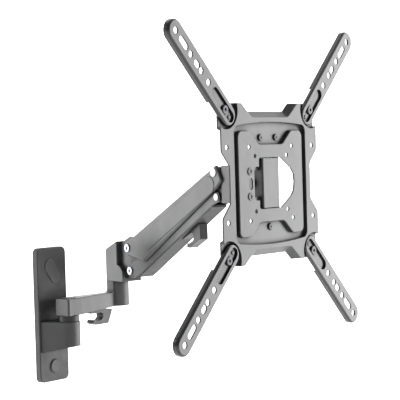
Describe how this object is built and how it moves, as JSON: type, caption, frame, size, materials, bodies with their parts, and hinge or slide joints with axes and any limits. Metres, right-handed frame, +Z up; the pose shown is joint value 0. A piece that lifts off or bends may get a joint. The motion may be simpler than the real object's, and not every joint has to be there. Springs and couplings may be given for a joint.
{
  "type": "television wall mount",
  "caption": "Full motion television wall mount: narrow wall plate, short swivel link, gas spring lift arm, tilting head and a pressed plate with diagonal folding arms.",
  "frame": {"origin": "centre of the wall plate's back face, on the wall", "axes": "+Y into the wall, +Z up, +X along the wall to the right seen from the room; the display plate faces -Y"},
  "size_m": [0.43, 0.4032, 0.5126],
  "materials": {
    "powder_coat": "satin black powder coat",
    "cast_arm": "satin dark grey paint on a casting",
    "arm_cover": "fine moulded grain",
    "cover_plastic": "dark grey moulded grain",
    "clip_plastic": "black moulded",
    "bush_plastic": "natural low-friction plastic",
    "black_screw": "black oxide",
    "bright_steel": "bright zinc plate",
    "shaft_steel": "turned",
    "pin_cap": "satin"
  },
  "bodies": {
    "wall": {"wall_plate": "powder_coat", "wall_cover": "cover_plastic", "oblong_plug": "cover_plastic", "round_plug": "cover_plastic", "wall_bracket": "cast_arm", "bracket_screws": "black_screw", "wall_shaft": "shaft_steel", "wall_collar": "clip_plastic", "wall_shaft_screw": "shaft_steel", "wall_washer": "shaft_steel"},
    "link": {"link_arm": "cast_arm", "link_clip": "clip_plastic", "wall_bush": "bush_plastic", "elbow_bush": "bush_plastic", "hub_cap": "arm_cover"},
    "base": {"arm_base": "cast_arm", "elbow_shaft": "shaft_steel", "elbow_washer": "shaft_steel", "elbow_screw": "shaft_steel", "spring_anchor_pin": "shaft_steel", "base_washers": "bush_plastic", "upper_pivot_bolt": "bright_steel", "lower_pivot_bolt": "bright_steel"},
    "upper": {"upper_shell": "cast_arm", "gas_cylinder": "black_screw", "cylinder_eye": "shaft_steel", "spring_pin": "shaft_steel"},
    "rod": {"gas_rod": "shaft_steel", "rod_eye": "shaft_steel"},
    "lower": {"lower_arm": "cast_arm", "under_cover": "arm_cover", "arm_clip": "clip_plastic"},
    "head": {"head_block": "cast_arm", "swivel_bush": "bush_plastic", "head_pin_upper": "pin_cap", "head_pin_lower": "pin_cap", "head_washers": "bush_plastic"},
    "fork": {"tilt_fork": "powder_coat", "swivel_pin": "shaft_steel", "swivel_washer": "black_screw", "swivel_screw": "black_screw"},
    "display": {"display_plate": "powder_coat", "tilt_frame": "powder_coat", "plate_screws": "black_screw", "plate_nuts": "black_screw", "plate_rivets": "black_screw", "tilt_bolt": "black_screw", "tilt_washers": "black_screw", "tilt_nut": "black_screw", "arm_pivot_screws": "black_screw", "arm_pivot_nuts": "black_screw"},
    "tv_upper_left": {"tv_arm_upper_left": "powder_coat", "stop_pin_upper_left": "black_screw"},
    "tv_upper_right": {"tv_arm_upper_right": "powder_coat", "stop_pin_upper_right": "black_screw"},
    "tv_lower_left": {"tv_arm_lower_left": "powder_coat", "stop_pin_lower_left": "black_screw"},
    "tv_lower_right": {"tv_arm_lower_right": "powder_coat", "stop_pin_lower_right": "black_screw"}
  },
  "joints": [
    {"name": "wall_swivel", "type": "hinge", "parent": "wall", "child": "link", "pos_m": [0, -0.0415, 0], "axis": [0, 0, 1], "range_deg": [-160, 0]},
    {"name": "elbow_swivel", "type": "hinge", "parent": "link", "child": "base", "pos_m": [0.114, -0.0415, 0.04365], "axis": [0, 0, -1], "range_deg": [-90, 45]},
    {"name": "lift", "type": "hinge", "parent": "base", "child": "upper", "pos_m": [0.09961, -0.0952, 0.0965], "axis": [-0.9659, 0.2588, 0], "range_deg": [-46, 6]},
    {"name": "lower_link", "type": "hinge", "parent": "base", "child": "lower", "pos_m": [0.09961, -0.0952, 0.0613], "axis": [-0.9659, 0.2588, 0], "range_deg": [-46.5, 6.5]},
    {"name": "head_level", "type": "hinge", "parent": "upper", "child": "head", "pos_m": [0.0423, -0.30908, 0.21127], "axis": [-0.9659, 0.2588, 0], "range_deg": [-6.5, 46.5]},
    {"name": "spring_stroke", "type": "slide", "parent": "upper", "child": "rod", "axis": [0.2231, 0.8326, -0.507], "range_m": [-0.0195, 0.003]},
    {"name": "head_swivel", "type": "hinge", "parent": "head", "child": "fork", "pos_m": [0.02998, -0.35506, 0.19557], "axis": [0, 0, -1], "range_deg": [-60, 75]},
    {"name": "tilt", "type": "hinge", "parent": "fork", "child": "display", "pos_m": [0.02998, -0.38006, 0.19557], "axis": [1, 0, 0], "range_deg": [-5, 15]},
    {"name": "tv_arm_upper_left_turn", "type": "hinge", "parent": "display", "child": "tv_upper_left", "pos_m": [-0.07002, -0.40206, 0.29557], "axis": [0, -1, 0], "range_deg": [-45, 45]},
    {"name": "tv_arm_upper_right_turn", "type": "hinge", "parent": "display", "child": "tv_upper_right", "pos_m": [0.12998, -0.40206, 0.29557], "axis": [0, -1, 0], "range_deg": [-45, 45]},
    {"name": "tv_arm_lower_left_turn", "type": "hinge", "parent": "display", "child": "tv_lower_left", "pos_m": [-0.07002, -0.40206, 0.09557], "axis": [0, -1, 0], "range_deg": [-45, 45]},
    {"name": "tv_arm_lower_right_turn", "type": "hinge", "parent": "display", "child": "tv_lower_right", "pos_m": [0.12998, -0.40206, 0.09557], "axis": [0, -1, 0], "range_deg": [-45, 45]}
  ],
  "couplings": [
    {"joint": "lower_link", "follows": "lift", "ratio": 1},
    {"joint": "head_level", "follows": "lift", "ratio": -1},
    {"joint": "spring_stroke", "follows": "lift", "m_per_rad": 0.0192}
  ]
}
